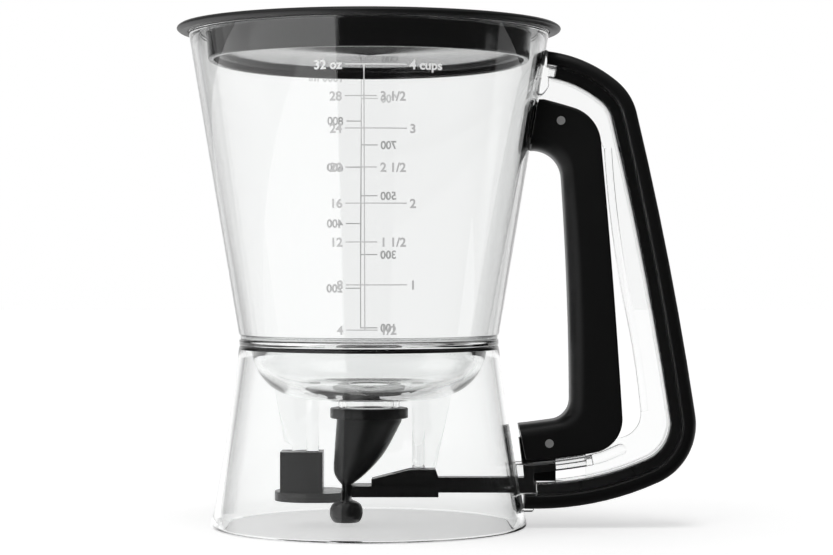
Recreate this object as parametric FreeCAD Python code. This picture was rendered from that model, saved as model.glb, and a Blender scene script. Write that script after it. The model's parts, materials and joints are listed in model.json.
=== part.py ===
import FreeCAD, Part
import math
import os

# Pancake batter dispenser, in millimetres. The origin is on the reservoir's axis
# where it meets the table, +Z is up and +X points to the handle.

V = FreeCAD.Vector
AXIS_X = V(1, 0, 0)
AXIS_Y = V(0, 1, 0)
AXIS_Z = V(0, 0, 1)
ORIGIN = V(0, 0, 0)

# Base skirt, from its foot to the waist
foot_radius = 58.2
waist_radius = 47.9
skirt_height = 66.4
skirt_wall = 2.6
skirt_mid_sag = 0.5

# Stack at the waist
bowl_flange_height = 2.6
seal_height = 1.4
seal_setback = 0.5

# Reservoir
reservoir_height = 111.0
reservoir_wall = 2.6
rim_radius = 66.3
rim_land = 3.7

# Lid
plug_clearance = 2.6
plug_draft = 0.8
plug_depth = 9.9
plug_wall = 2.2
pan_depth = 7.5
pan_floor = 2.0
flange_height = 1.4
flange_overhang = 0.1
lid_overhang = 4.2
lid_rim_height = 2.6
lid_rim_overlap = 4.0

# Funnel bowl
bowl_wall = 2.4
bowl_gap_to_skirt = 0.7
bowl_skirt_drop = 4.4
bowl_floor_radius = 26.0
bowl_floor_z = 47.0
collar_radius = 11.4
collar_height = 3.6
spigot_radius = 10.2
spigot_length = 8.6
outlet_bore = 8.5

# Valve posts, which hang from the bowl
post_thickness = 4.6
post_width = 8.0
gusset_thickness = 1.8
left_post_x = -20.8
left_gusset_reach = 12.5
left_post_seat = 4.0
right_post_x = 18.2
right_gusset_reach = 6.5
right_post_end_z = 21.2
tongue_thickness = 2.4
tongue_length = 4.6

# Nozzle boot and its ring
boot_wall = 1.8
ring_radius = 14.4
ring_height = 3.8
pinch_x = -8.25
pinch_half_width = 9.0
pinch_slit = 0.05
outlet_radius = 6.1
outlet_clearance = 1.0

# Anvil bracket on the left post
anvil_bottom_z = 9.4
anvil_thickness = 3.4
anvil_half_width = 13.0
anvil_nose_half_width = 9.6
anvil_nose_length = 4.2
sleeve_height = 14.6
sleeve_length = 15.6
sleeve_half_width = 6.5
sleeve_centre_x = -24.7

# Jaw slider
jaw_bottom_z = 10.9
jaw_thickness = 4.0
jaw_half_width = 7.0
jaw_clearance = 0.1
cheek_start_x = 0.9
cheek_peak_x = 15.0
cheek_end_x = 25.5
cheek_low_z = 17.2
cheek_top_z = 20.8
cheek_half_width = 4.6
guide_slot_clearance = 0.35
bar_bottom_z = 12.3
bar_height = 5.6
bar_half_width = 3.5
bar_tail_length = 3.3
upright_length = 14.0
upright_bottom_z = 16.6
upright_top_z = 32.4
upright_gap = 1.0
slide_clearance = 0.4

# Handle: the line where the clear band meets the soft cover
loop_start = (65.1, 169.4)
loop_heading = -7.0
loop_moves = [(43.6, -33.3), (16.4, -36.3), (1340.0, -4.8), (18.5, -74.2), (103.0, -26.8)]
band_depth = 4.6
band_half_width = 8.0
insert_depth = 3.8
insert_half_width = 5.5
cover_depth = 5.0
cover_half_width = 10.0
cover_rounding = 3.6
web_half_thickness = 1.5
bead_half_thickness = 2.5
bead_depth = 2.8
root_face_x = 66.0
root_half_width = 8.0
root_drop = 6.6
root_height = 16.4
web_shelf_z = 143.8

# Inner edge of the clear web
web_edge_start = (86.7, 138.9)
web_edge_heading = -86.5
web_edge_moves = [(432.0, 8.2), (333.0, -6.2), (9.0, -112.0)]

# Tongue of the web under the trigger
rail_start = (51.0, 21.1)
rail_heading = 1.5
rail_moves = [(200.0, 9.0)]
rail_nose_moves = [(30.0, 12.0)]
rail_end_length = 5.0
rail_depth = 3.8
rail_half_width = 6.4
rail_nose_half_width = 3.4
rail_slot_end_x = 80.0
foot_root_face_x = 60.5
foot_root_top_z = 23.2
foot_root_bottom_z = 5.6

# Trigger
trigger_back_start = (64.0, 156.6)
trigger_back_heading = -14.0
trigger_back_moves = [(192.0, -3.4), (14.2, -67.1), (2830.0, -2.05), (12.3, -82.0), (145.0, -10.1)]
trigger_front_start = (60.9, 138.3)
trigger_front_heading = -3.0
trigger_front_moves = [(10.6, -83.0), (1250.0, -3.75), (7.6, -82.0), (400.0, -1.8)]
trigger_half_width = 10.0
grip_skin_front = 2.5
grip_skin_side = 3.0
core_wall_front = 2.0
cavity_half_width = 4.0
grip_rounding = 5.5
grip_back_rounding = 1.2

# Pins and spring
pivot_x = 70.2
pivot_z = 148.8
link_x = 66.0
link_z = 30.9
pin_radius = 1.6
pin_clearance = 0.05
link_slot_extra = 0.4
squeeze_degrees = 3.4
boss_radius = 5.2
boss_end_gap = 0.3
spring_wire_radius = 0.35
spring_coil_radius = 3.0
spring_pitch = 0.8
spring_turns = 2
spring_leg = 5.5

# Half length of the cutters that go right through
cut_reach = 60.0

# Heights and radii that follow from the sizes above
flange_bottom_z = skirt_height
mouth_radius = rim_radius - rim_land
plug_radius = mouth_radius - plug_clearance
flange_radius = rim_radius + flange_overhang
lid_radius = flange_radius + lid_overhang
flange_top_z = flange_bottom_z + bowl_flange_height
reservoir_bottom_z = flange_top_z + seal_height
rim_z = reservoir_bottom_z + reservoir_height
root_top_z = rim_z - root_drop
root_bottom_z = root_top_z - root_height
wall_slope = (rim_radius - waist_radius) / reservoir_height
collar_bottom_z = bowl_floor_z - collar_height
spigot_bottom_z = collar_bottom_z - spigot_length
ring_bottom_z = collar_bottom_z - ring_height
anvil_top_z = anvil_bottom_z + anvil_thickness
jaw_top_z = jaw_bottom_z + jaw_thickness
bar_top_z = bar_bottom_z + bar_height
anvil_face_x = pinch_x - boot_wall - jaw_clearance
jaw_face_x = pinch_x + boot_wall + jaw_clearance
bar_end_x = foot_radius + bar_tail_length
slider_travel = (pivot_z - link_z) * math.radians(squeeze_degrees)
foot_slot_end_x = bar_end_x + slider_travel + slide_clearance


def step(point, heading, radius, turn):
    """The middle, end and new heading of an arc that starts at a point and turns by some degrees."""
    side = math.copysign(1.0, turn)
    h = math.radians(heading)
    centre = (point[0] - side * radius * math.sin(h), point[1] + side * radius * math.cos(h))

    def at(share):
        a = h + math.radians(turn) * share
        return (centre[0] + side * radius * math.sin(a), centre[1] - side * radius * math.cos(a))

    return at(0.5), at(1.0), heading + turn


def shift(point, heading, offset):
    """A point moved to the left of a heading."""
    h = math.radians(heading)
    return (point[0] - offset * math.sin(h), point[1] + offset * math.cos(h))


def chain(start, heading, moves, offset=0.0):
    """Tangent arcs in the XZ plane, moved sideways to their left. Gives edges and end point."""
    point = shift(start, heading, offset)
    edges = []
    for radius, turn in moves:
        used = radius - math.copysign(1.0, turn) * offset
        mid, end, heading = step(point, heading, used, turn)
        edges.append(Part.Arc(at_y(point), at_y(mid), at_y(end)).toShape())
        point = end
    return edges, point, heading


def at_y(point, y=0.0):
    return V(point[0], y, point[1])


def line(a, b):
    return Part.LineSegment(at_y(a), at_y(b)).toShape()


def slab(edges, half_width, low=None):
    """A face in the XZ plane made thick along Y, on both sides or from low to half_width."""
    start = -half_width if low is None else low
    face = Part.Face(Part.Wire(Part.__sortEdges__(edges)))
    face.translate(V(0, start, 0))
    return face.extrude(V(0, half_width - start, 0))


def plate(points, half_width, low=None):
    edges = [line(a, b) for a, b in zip(points, points[1:] + points[:1])]
    return slab(edges, half_width, low)


def strip(start, heading, moves, inner, outer, half_width):
    """A band between two offsets of a chain."""
    edges_a, end_a, _ = chain(start, heading, moves, inner)
    edges_b, end_b, _ = chain(start, heading, moves, outer)
    ends = [line(shift(start, heading, inner), shift(start, heading, outer)), line(end_a, end_b)]
    return slab(edges_a + edges_b + ends, half_width)


def box(x0, x1, y0, y1, z0, z1):
    return Part.makeBox(x1 - x0, y1 - y0, z1 - z0, V(x0, y0, z0))


def turned(points):
    """A solid of revolution. A point of four numbers is an arc through its first two."""
    edges = []
    here = points[0]
    for nxt in points[1:] + points[:1]:
        if len(nxt) == 4:
            mid, end = (nxt[0], nxt[1]), (nxt[2], nxt[3])
            edges.append(Part.Arc(at_y(here), at_y(mid), at_y(end)).toShape())
        else:
            end = (nxt[0], nxt[1])
            if math.dist(here, end) > 1e-6:
                edges.append(line(here, end))
        here = end
    return Part.Face(Part.Wire(edges)).revolve(ORIGIN, AXIS_Z, 360)


def cross_pin(x, z, radius, half_length):
    return Part.makeCylinder(radius, 2 * half_length, V(x, -half_length, z), AXIS_Y)


def cone_radius(z):
    return waist_radius + (z - reservoir_bottom_z) * wall_slope


def skirt_profile(inset):
    """The skirt's wall line, inset from the outside, from the foot up to the waist."""
    half = skirt_height / 2
    mid = ((foot_radius + waist_radius) / 2 - skirt_mid_sag - inset, half)
    return (foot_radius - inset, 0.0), mid, (waist_radius - inset, skirt_height)


def skirt_envelope():
    foot, mid, waist = skirt_profile(0.0)
    return turned([(0.0, 0.0), foot, mid + waist, (0.0, skirt_height)])


def make_base_skirt():
    foot, mid, waist = skirt_profile(0.0)
    foot_in, mid_in, waist_in = skirt_profile(skirt_wall)
    wall = turned([foot_in, foot, mid + waist, waist_in, mid_in + foot_in])
    grip = bar_half_width + slide_clearance
    slot = box(0, foot_radius + 5, -grip, grip, bar_bottom_z - slide_clearance, bar_top_z + slide_clearance)
    return wall.cut(slot)


def make_reservoir_wall():
    inner = waist_radius - reservoir_wall
    mouth_z = reservoir_bottom_z + (mouth_radius - inner) / wall_slope
    return turned([
        (inner, reservoir_bottom_z),
        (waist_radius, reservoir_bottom_z),
        (rim_radius, rim_z),
        (mouth_radius, rim_z),
        (mouth_radius, mouth_z),
    ])


def reservoir_envelope():
    return turned([(0, reservoir_bottom_z), (waist_radius, reservoir_bottom_z), (rim_radius, rim_z), (0, rim_z)])


def make_bowl_seal():
    inner = waist_radius - reservoir_wall
    outer = waist_radius - seal_setback
    return turned([(inner, flange_top_z), (outer, flange_top_z), (outer, reservoir_bottom_z),
                   (inner, reservoir_bottom_z)])


def bowl_underside():
    """The bowl's outer line from its flange down to the collar."""
    shoulder = waist_radius - skirt_wall - bowl_gap_to_skirt
    drop_z = flange_bottom_z - bowl_skirt_drop
    middle = ((shoulder + bowl_floor_radius) / 2 + 1.5, (drop_z + bowl_floor_z) / 2 - 2.6)
    return [(shoulder, flange_bottom_z), (shoulder - 1.6, drop_z), middle + (bowl_floor_radius, bowl_floor_z)]


def bowl_envelope():
    return turned([(0, bowl_floor_z), (0, flange_bottom_z)] + bowl_underside())


def make_funnel_bowl():
    shoulder, drop, floor_arc = bowl_underside()
    floor_in = (bowl_floor_radius - 1.0, bowl_floor_z + bowl_wall)
    middle_in = (floor_arc[0] - 1.3, floor_arc[1] + bowl_wall)
    drop_in = (drop[0] - bowl_wall, drop[1] + 0.8)
    top_in = (waist_radius - reservoir_wall, flange_top_z)
    return turned([
        (outlet_bore, spigot_bottom_z),
        (spigot_radius, spigot_bottom_z),
        (spigot_radius, collar_bottom_z),
        (collar_radius, collar_bottom_z),
        (collar_radius, bowl_floor_z),
        (bowl_floor_radius, bowl_floor_z),
        (floor_arc[0], floor_arc[1]) + drop,
        shoulder,
        (waist_radius, flange_bottom_z),
        (waist_radius, flange_top_z),
        top_in,
        drop_in,
        middle_in + floor_in,
        (outlet_bore, bowl_floor_z + bowl_wall - 0.6),
    ])


def make_left_post():
    seat_z = anvil_top_z + left_post_seat
    half = post_thickness / 2
    column = box(left_post_x - half, left_post_x + half, -post_width / 2, post_width / 2, seat_z, skirt_height)
    low_reach = left_post_x - left_gusset_reach + 2.0
    high_reach = low_reach - 6.5
    sleeve_top = anvil_bottom_z + sleeve_height + anvil_thickness
    gusset = plate([(left_post_x, seat_z), (low_reach + 3.0, seat_z), (low_reach + 3.0, sleeve_top - 1.0),
                    (low_reach, sleeve_top + 0.5), (high_reach, skirt_height), (left_post_x, skirt_height)],
                   gusset_thickness / 2)
    return column.fuse(gusset).cut(bowl_envelope()).removeSplitter()


def make_right_post():
    half = post_thickness / 2
    low = right_post_end_z
    column = box(right_post_x - half, right_post_x + half, -post_width / 2, post_width / 2, low, skirt_height)
    reach = right_post_x + right_gusset_reach
    gusset = plate([(right_post_x, low), (reach, low), (reach + 9.5, skirt_height), (right_post_x, skirt_height)],
                   gusset_thickness / 2)
    tongue = box(right_post_x - half, right_post_x + half, -tongue_thickness / 2, tongue_thickness / 2,
                 low - tongue_length, low)
    return column.fuse(gusset).fuse(tongue).cut(bowl_envelope()).removeSplitter()


def make_retaining_ring():
    inner = spigot_radius + boot_wall
    return turned([(inner, ring_bottom_z), (ring_radius, ring_bottom_z), (ring_radius, collar_bottom_z),
                   (inner, collar_bottom_z)])


def oval(centre_x, half_x, half_y, z):
    """A closed oval wire, flat in X where the tube is pinched. Every oval's seam lies on +Y."""
    if half_x < half_y:
        curve = Part.Ellipse(ORIGIN, half_y, half_x)
    else:
        curve = Part.Circle(ORIGIN, AXIS_Z, half_x)
    wire = Part.Wire(curve.toShape())
    wire.rotate(ORIGIN, AXIS_Z, 90)
    wire.translate(V(centre_x, 0, z))
    return wire


def loft(sections):
    return Part.makeLoft([oval(*s) for s in sections], True, True)


def make_nozzle_boot():
    neck = spigot_radius + boot_wall
    bore = spigot_radius
    pinch_top_z = jaw_top_z + 0.2
    pinch_low_z = anvil_bottom_z - 0.2
    outlet_x = pinch_x - 0.2
    funnel = loft([
        (0.0, neck, neck, collar_bottom_z),
        (0.0, neck, neck, spigot_bottom_z + 3.6),
        (-1.1, neck - 0.7, neck - 0.4, spigot_bottom_z),
        (-3.5, 9.3, 10.6, 27.0),
        (-6.9, 6.0, 9.6, 19.4),
        (pinch_x, boot_wall, pinch_half_width, pinch_top_z),
    ])
    pinch = Part.Face(oval(pinch_x, boot_wall, pinch_half_width, pinch_low_z))
    pinch = pinch.extrude(V(0, 0, pinch_top_z - pinch_low_z))
    outlet = loft([
        (pinch_x, boot_wall, pinch_half_width, pinch_low_z),
        (outlet_x, outlet_radius, outlet_radius, anvil_bottom_z - 3.2),
        (outlet_x, outlet_radius, outlet_radius, outlet_clearance + 1.6),
        (outlet_x, outlet_radius - 1.2, outlet_radius - 1.2, outlet_clearance),
    ])
    hollow = loft([
        (0.0, bore, bore, collar_bottom_z),
        (0.0, bore, bore, spigot_bottom_z),
        (-3.5, 9.3 - boot_wall, 10.6 - boot_wall, 27.0),
        (-6.9, 6.0 - boot_wall, 9.6 - boot_wall, 19.4),
        (pinch_x, pinch_slit, pinch_half_width - boot_wall, pinch_top_z),
    ])
    inner = outlet_radius - boot_wall
    mouth = loft([
        (pinch_x, pinch_slit, pinch_half_width - boot_wall, pinch_low_z),
        (outlet_x, inner, inner, anvil_bottom_z - 3.2),
        (outlet_x, inner, inner, outlet_clearance),
    ])
    return funnel.cut(hollow).fuse(pinch).fuse(outlet.cut(mouth))


def make_anvil_bracket():
    tail_x = sleeve_centre_x - sleeve_length / 2 - 2.4 + anvil_half_width
    rounded = Part.makeCylinder(anvil_half_width, anvil_thickness, V(tail_x, 0, anvil_bottom_z))
    shoulder_x = anvil_face_x - anvil_nose_length
    body = box(tail_x, shoulder_x, -anvil_half_width, anvil_half_width, anvil_bottom_z, anvil_top_z)
    rounded = rounded.cut(box(tail_x, 0, -cut_reach, cut_reach, 0, skirt_height))
    nose_points = [
        V(shoulder_x, -anvil_half_width, anvil_bottom_z),
        V(anvil_face_x, -anvil_nose_half_width, anvil_bottom_z),
        V(anvil_face_x, anvil_nose_half_width, anvil_bottom_z),
        V(shoulder_x, anvil_half_width, anvil_bottom_z),
    ]
    nose_wire = Part.makePolygon(nose_points + nose_points[:1])
    nose = Part.Face(nose_wire).extrude(V(0, 0, anvil_thickness))
    half = sleeve_length / 2
    sleeve = box(sleeve_centre_x - half, sleeve_centre_x + half, -sleeve_half_width, sleeve_half_width,
                 anvil_top_z, anvil_top_z + sleeve_height)
    whole = rounded.fuse(body).fuse(nose).fuse(sleeve).removeSplitter()
    return whole.cut(make_left_post())


def make_jaw_slider():
    plate_part = box(jaw_face_x, cheek_end_x, -jaw_half_width, jaw_half_width, jaw_bottom_z, jaw_top_z)
    cheeks = plate([(cheek_start_x, jaw_top_z), (cheek_start_x, cheek_low_z), (cheek_peak_x, cheek_top_z),
                    (cheek_end_x - 1.0, cheek_top_z), (cheek_end_x, bar_top_z), (cheek_end_x, jaw_top_z)],
                   cheek_half_width)
    bar_start = cheek_peak_x + 2.0
    bar = box(bar_start, bar_end_x, -bar_half_width, bar_half_width, bar_bottom_z, bar_top_z)
    left = foot_radius - upright_gap
    upright = plate([(left, upright_bottom_z), (left + upright_length - 2.5, upright_bottom_z),
                     (left + upright_length - 2.5, upright_top_z - 1.0),
                     (left + upright_length - 4.5, upright_top_z), (left - 2.0, upright_top_z)],
                    bar_half_width)
    solid = plate_part.fuse(cheeks).fuse(bar).fuse(upright).removeSplitter()
    post_half = post_thickness / 2 + guide_slot_clearance
    slot_half = tongue_thickness / 2 + guide_slot_clearance
    slot_low = right_post_end_z - tongue_length - guide_slot_clearance
    slot = box(right_post_x - post_half - slider_travel, right_post_x + post_half,
               -slot_half, slot_half, slot_low, cheek_top_z + 5)
    hole = pin_radius + pin_clearance
    rise = link_slot_extra / 2
    eye = cross_pin(link_x, link_z - rise, hole, cut_reach)
    eye = eye.fuse(box(link_x - hole, link_x + hole, -cut_reach, cut_reach, link_z - rise, upright_top_z + 5))
    return solid.cut(slot).cut(eye)


def make_grip_cover():
    cover = strip(loop_start, loop_heading, loop_moves, 0.0, cover_depth, cover_half_width)
    outer, _, _ = chain(loop_start, loop_heading, loop_moves, cover_depth)
    return cover.makeFillet(cover_rounding, side_edges(cover, outer, cover_half_width))


def side_edges(solid, chain_edges, half_width):
    """The edges of a slab's two sides that run over a chain's arcs."""
    spots = [e.valueAt((e.FirstParameter + e.LastParameter) / 2) for e in chain_edges]
    found = []
    for edge in solid.Edges:
        mid = edge.valueAt((edge.FirstParameter + edge.LastParameter) / 2)
        if abs(abs(mid.y) - half_width) > 1e-3:
            continue
        if any(math.hypot(mid.x - s.x, mid.z - s.z) < 0.05 for s in spots):
            found.append(edge)
    return found


def make_grip_insert():
    insert = strip(loop_start, loop_heading, loop_moves, -insert_depth, 0.0, insert_half_width)
    return insert.cut(box(0, foot_slot_end_x + 0.4, -cut_reach, cut_reach, 0, skirt_height)).cut(
        box(0, root_face_x + 3.0, -cut_reach, cut_reach, skirt_height, rim_z))


def web_outline():
    """The clear web's closed outline, between the band's inner side and the web's inner edge."""
    inner, inner_end, _ = chain(loop_start, loop_heading, loop_moves, -band_depth + 0.5)
    inner_start = shift(loop_start, loop_heading, -band_depth + 0.5)
    edge, edge_end, _ = chain(web_edge_start, web_edge_heading, web_edge_moves)
    wall_top = (cone_radius(inner_start[1]) - 1.0, inner_start[1])
    wall_low = (cone_radius(web_shelf_z) - 1.0, web_shelf_z)
    corner = (web_edge_start[0] - 2.2, web_shelf_z)
    rail, rail_end, _ = chain(rail_start, rail_heading, rail_moves + rail_nose_moves)
    edges = inner + edge + rail
    edges += [line(wall_top, inner_start), line(wall_low, wall_top), line(wall_low, corner)]
    edges += [line(corner, web_edge_start), line(edge_end, rail_end)]
    edges += [line(rail_start, (rail_start[0], inner_end[1])), line((rail_start[0], inner_end[1]), inner_end)]
    return edges


def make_handle_frame():
    band = strip(loop_start, loop_heading, loop_moves, -band_depth, 0.0, band_half_width)
    web = slab(web_outline(), web_half_thickness)
    bead = strip(web_edge_start, web_edge_heading, web_edge_moves[:2], 0.0, bead_depth, bead_half_thickness)
    rail = strip(rail_start, rail_heading, rail_moves, -rail_depth / 2, rail_depth / 2, rail_half_width)
    _, nose_start, nose_heading = chain(rail_start, rail_heading, rail_moves)
    nose = strip(nose_start, nose_heading, rail_nose_moves, -rail_depth / 2, rail_depth / 2, rail_nose_half_width)
    _, rail_end, heading = chain(nose_start, nose_heading, rail_nose_moves)
    h = math.radians(heading)
    tip = (rail_end[0] + rail_end_length * math.cos(h), rail_end[1] + rail_end_length * math.sin(h))
    low, high = -rail_depth / 2, rail_depth / 2
    rail_tip = plate([shift(rail_end, heading, low), shift(tip, heading, low), shift(tip, heading, high),
                      shift(rail_end, heading, high)], rail_nose_half_width)
    rail_round = cross_pin(tip[0], tip[1], rail_depth / 2, rail_nose_half_width)
    boss = Part.makeCylinder(boss_radius, web_half_thickness + cavity_half_width - boss_end_gap,
                             V(pivot_x, boss_end_gap - cavity_half_width, pivot_z), AXIS_Y)
    top_root = plate([(40.0, root_bottom_z), (root_face_x - 2.0, root_bottom_z),
                      (root_face_x, root_bottom_z + 3.0), (root_face_x, root_top_z), (40.0, root_top_z)],
                     root_half_width)
    foot_root = box(40.0, foot_root_face_x, -root_half_width, root_half_width,
                    foot_root_bottom_z, foot_root_top_z)
    solid = band.fuse(web)
    for piece in (bead, rail, nose, rail_tip, rail_round, boss, top_root, foot_root):
        solid = solid.fuse(piece)
    reach = cavity_half_width + 0.2
    slot_low = bar_bottom_z - slide_clearance
    slot = box(0, foot_slot_end_x, -reach, reach, slot_low, skirt_height)
    slot = slot.fuse(box(0, rail_slot_end_x, -reach, reach, upright_bottom_z - slide_clearance,
                         skirt_height))
    cuts = [slot, make_grip_insert(), make_grip_cover(), reservoir_envelope(), skirt_envelope(),
            cross_pin(pivot_x, pivot_z, pin_radius, cut_reach)]
    for cut in cuts:
        solid = solid.cut(cut)
    return solid.removeSplitter()


def trigger_outline(offset):
    """The trigger's side outline, its finger side moved inwards by an offset."""
    back, back_end, _ = chain(trigger_back_start, trigger_back_heading, trigger_back_moves)
    front, front_end, _ = chain(trigger_front_start, trigger_front_heading, trigger_front_moves, offset)
    front_start = shift(trigger_front_start, trigger_front_heading, offset)
    return back + front + [line(trigger_back_start, front_start), line(back_end, front_end)], front


def trigger_block(offset, half_width):
    edges, _ = trigger_outline(offset)
    return slab(edges, half_width)


def make_trigger_cover():
    edges, front = trigger_outline(0.0)
    whole = slab(edges, trigger_half_width)
    whole = whole.makeFillet(grip_rounding, side_edges(whole, front, trigger_half_width))
    inner = trigger_block(grip_skin_front, trigger_half_width - grip_skin_side)
    cover = whole.cut(inner)
    cover = cover.cut(cross_pin(pivot_x, pivot_z, pin_radius + pin_clearance, cut_reach))
    return cover.cut(cross_pin(link_x, link_z, pin_radius, cut_reach))


def make_trigger_core():
    half_width = trigger_half_width - grip_skin_side
    core = trigger_block(grip_skin_front, half_width).common(trigger_block(0.0, trigger_half_width))
    core = core.cut(trigger_block(grip_skin_front + core_wall_front, cavity_half_width))
    core = core.cut(cross_pin(pivot_x, pivot_z, pin_radius + pin_clearance, cut_reach))
    return core.cut(cross_pin(link_x, link_z, pin_radius, cut_reach))


def make_return_spring():
    start_y = web_half_thickness + spring_wire_radius + 0.1
    height = spring_pitch * spring_turns
    helix = Part.makeHelix(spring_pitch, height, spring_coil_radius)
    section = Part.Wire(Part.makeCircle(spring_wire_radius, V(spring_coil_radius, 0, 0), AXIS_Y))
    coil = Part.Wire(helix).makePipeShell([section], True, True)
    legs = []
    for z in (0.0, height):
        legs.append(Part.makeCylinder(spring_wire_radius, spring_leg, V(spring_coil_radius, 0, z), AXIS_Y
                                      if z > 0 else -AXIS_Y))
    spring = coil.fuse(legs[0]).fuse(legs[1])
    spring.rotate(ORIGIN, AXIS_X, -90)
    spring.rotate(ORIGIN, AXIS_Y, 35)
    spring.translate(V(pivot_x, start_y, pivot_z))
    return spring


def make_lid_plug():
    tip = plug_radius - plug_draft
    skirt_z = rim_z - plug_depth
    top_z = rim_z + flange_height
    floor_z = rim_z + lid_rim_height - pan_depth
    pan = plug_radius - plug_wall
    return turned([
        (0, floor_z - pan_floor),
        (tip - plug_wall, floor_z - pan_floor),
        (tip - plug_wall, skirt_z),
        (tip, skirt_z),
        (plug_radius, rim_z),
        (flange_radius, rim_z),
        (flange_radius, top_z),
        (pan, top_z),
        (pan - 0.6, floor_z),
        (0, floor_z),
    ])


def make_lid_rim():
    top_z = rim_z + lid_rim_height
    seat_z = rim_z + flange_height
    nose = lid_rim_height / 2
    return turned([
        (flange_radius, rim_z),
        (lid_radius - nose, rim_z),
        (lid_radius, rim_z + nose, lid_radius - nose, top_z),
        (flange_radius - lid_rim_overlap, top_z),
        (flange_radius - lid_rim_overlap, seat_z),
        (flange_radius, seat_z),
    ])


nodes = {
    "base_skirt": make_base_skirt(),
    "reservoir_wall": make_reservoir_wall(),
    "bowl_seal": make_bowl_seal(),
    "funnel_bowl": make_funnel_bowl(),
    "valve_post_left": make_left_post(),
    "valve_post_right": make_right_post(),
    "nozzle_retaining_ring": make_retaining_ring(),
    "nozzle_boot": make_nozzle_boot(),
    "anvil_bracket": make_anvil_bracket(),
    "jaw_slider": make_jaw_slider(),
    "handle_frame": make_handle_frame(),
    "handle_grip_insert": make_grip_insert(),
    "handle_grip_cover": make_grip_cover(),
    "trigger_core": make_trigger_core(),
    "trigger_grip_cover": make_trigger_cover(),
    "trigger_pivot_pin": cross_pin(pivot_x, pivot_z, pin_radius, trigger_half_width),
    "link_pin": cross_pin(link_x, link_z, pin_radius, trigger_half_width),
    "return_spring": make_return_spring(),
    "lid_plug": make_lid_plug(),
    "lid_rim": make_lid_rim(),
}

os.makedirs("parts", exist_ok=True)
for name, shape in nodes.items():
    shape.exportStep(f"parts/{name}.step")
    print(name, "solids", len(shape.Solids), "valid", shape.isValid(), "volume", round(shape.Volume, 1))
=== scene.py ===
import json
import math

import bmesh
import bpy
from mathutils import Matrix, Vector


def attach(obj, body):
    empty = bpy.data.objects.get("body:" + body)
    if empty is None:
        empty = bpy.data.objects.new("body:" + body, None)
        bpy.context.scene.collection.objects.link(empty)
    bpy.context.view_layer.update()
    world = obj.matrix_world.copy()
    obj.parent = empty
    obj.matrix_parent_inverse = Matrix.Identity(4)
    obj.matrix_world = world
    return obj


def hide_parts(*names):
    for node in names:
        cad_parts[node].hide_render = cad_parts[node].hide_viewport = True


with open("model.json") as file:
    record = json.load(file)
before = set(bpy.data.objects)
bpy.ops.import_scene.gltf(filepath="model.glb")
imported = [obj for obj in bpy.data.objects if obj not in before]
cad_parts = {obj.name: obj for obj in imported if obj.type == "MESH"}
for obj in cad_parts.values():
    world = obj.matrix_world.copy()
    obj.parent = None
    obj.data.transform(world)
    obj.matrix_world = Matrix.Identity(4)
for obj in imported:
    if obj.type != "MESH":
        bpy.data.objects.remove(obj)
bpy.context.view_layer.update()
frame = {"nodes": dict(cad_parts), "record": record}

# Looks of the pancake batter dispenser. Sizes are in millimetres and become metres in the meshes.
MM = 0.001

# Fits: shells stay a hair inside the solids' faces, and cutters are larger by the gap
hair, fit_gap = 0.02, 0.04

# Body of revolution
foot_radius, waist_radius, skirt_height, wall = 58.2, 47.9, 66.4, 2.6
flange_top_z, reservoir_bottom_z, rim_z = 69.0, 70.4, 181.4
rim_radius, mouth_radius = 66.3, 62.6
wall_slope = (rim_radius - waist_radius) / (rim_z - reservoir_bottom_z)
bowl_floor_z, collar_bottom_z, spigot_bottom_z = 47.0, 43.4, 34.8
bore_radius, spigot_radius, collar_radius = 8.5, 10.2, 11.4
skirt_hollow = 0.5
round_steps = 224

# Bowl
bowl_floor_radius, bowl_shoulder, bowl_drop_z = 26.0, waist_radius - wall - 0.7, skirt_height - 4.4
bowl_middle = ((bowl_shoulder + bowl_floor_radius) / 2 + 1.5, (bowl_drop_z + bowl_floor_z) / 2 - 2.6)

# Lid
lid_top_z, lid_radius, pan_z = 184.0, 70.6, 176.5
plug_flange_radius, plug_flange_thick = 66.4, 1.4

# Nozzle
pinch_x, pinch_half_width, pinch_bore, pinch_top_z = -8.25, 9.0, 7.2, 15.1

# Side view chains of the handle and trigger
loop_start, loop_heading = (65.1, 169.4), -7.0
loop_moves = [(43.6, -33.3), (16.4, -36.3), (1340.0, -4.8), (18.5, -74.2), (103.0, -26.8)]
back_start, back_heading = (64.0, 156.6), -14.0
back_groups = [[(192.0, -3.4), (14.2, -67.1)], [(2830.0, -2.05)], [(12.3, -82.0)], [(145.0, -10.1)]]
front_start, front_heading = (60.9, 138.3), -3.0
front_groups = [[(10.6, -83.0)], [(1250.0, -3.75)], [(7.6, -82.0)], [(400.0, -1.8)]]
group_steps = [22, 26, 20, 8]

web_edge_start, web_edge_heading = (86.7, 138.9), -86.5
web_edge_moves = [(432.0, 8.2), (333.0, -6.2), (9.0, -112.0)]
rail_start, rail_heading = (51.0, 21.1), 1.5
rail_moves, rail_nose_moves = [(200.0, 9.0)], [(30.0, 12.0)]
nose_reach, rail_half, web_inset, web_low_z = 5.0, 1.9, 4.1, 143.8
pivot_x, pivot_z, slot_end_x = 70.2, 148.8, 68.9

# Handle and trigger sections, and the slider's way through skirt and handle
grip_half, cap_thick, band_half, band_round = 10.0, 5.0, 8.0, 0.8
groove_half, groove_depth = 5.5, 3.8
insert_half, insert_low, insert_high, cheek_thick = 5.42, -3.74, -0.3, 1.1
trigger_round, trigger_skin, core_half, cone_gap = 5.5, 2.5, 7.02, 0.7
slot_span_x, slot_half, slot_low_z, slot_high_z = (47, 67), 3.9, 11.9, 18.3
channel_half, upright_low_z, upright_end_x = 4.2, 16.2, 80

# Pins and posts
pin_radius, link_x, link_z = 1.58, 66.0, 30.9
left_column_x, left_low_z, right_column_x, right_low_z = (-23.1, -18.5), 16.8, (15.9, 20.5), 21.2
post_half, fin_half, tongue_half = 4, 0.9, 1.2

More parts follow.
